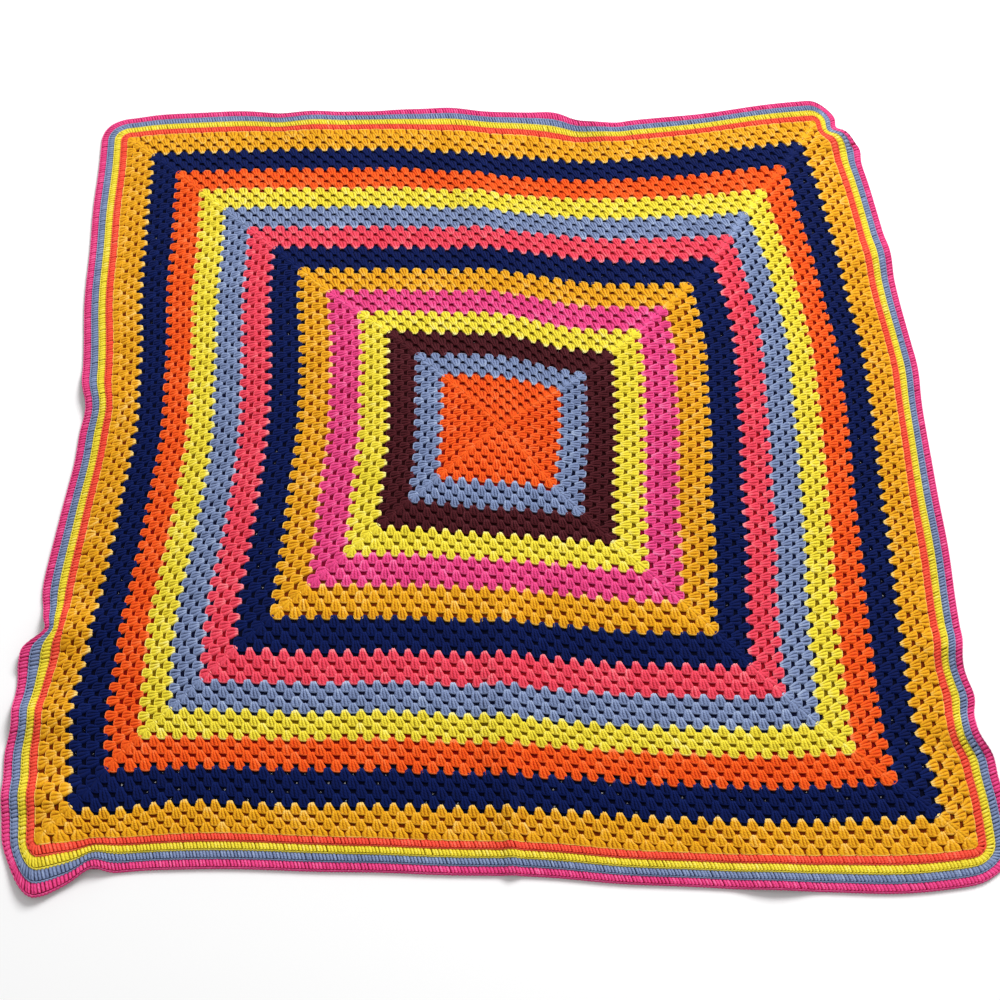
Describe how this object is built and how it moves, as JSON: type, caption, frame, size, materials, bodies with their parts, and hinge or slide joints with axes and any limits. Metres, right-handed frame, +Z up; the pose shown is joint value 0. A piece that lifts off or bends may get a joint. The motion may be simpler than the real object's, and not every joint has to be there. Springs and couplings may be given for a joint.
{
  "type": "crochet afghan",
  "caption": "Square crochet afghan in concentric coloured granny rounds with a solid striped border, laid out flat with low folds.",
  "frame": {"origin": "middle of the afghan's outline, on the surface that it lies on", "axes": "+Z up, off the surface; +Y towards the edge that is at the top of the picture, +X towards its right edge"},
  "size_m": [1.2614, 1.3002, 0.0183],
  "materials": {
    "mixed_yarn": "soft matte yarn in bands of eight colours",
    "orange_yarn": "soft matte yarn",
    "blue_grey_yarn": "soft matte yarn",
    "maroon_yarn": "soft matte yarn",
    "yellow_yarn": "soft matte yarn",
    "magenta_yarn": "soft matte yarn",
    "gold_yarn": "soft matte yarn",
    "navy_yarn": "soft matte yarn",
    "coral_yarn": "soft matte yarn",
    "vermilion_yarn": "soft matte yarn"
  },
  "bodies": {
    "root": {"afghan": "mixed_yarn"}
  },
  "joints": []
}
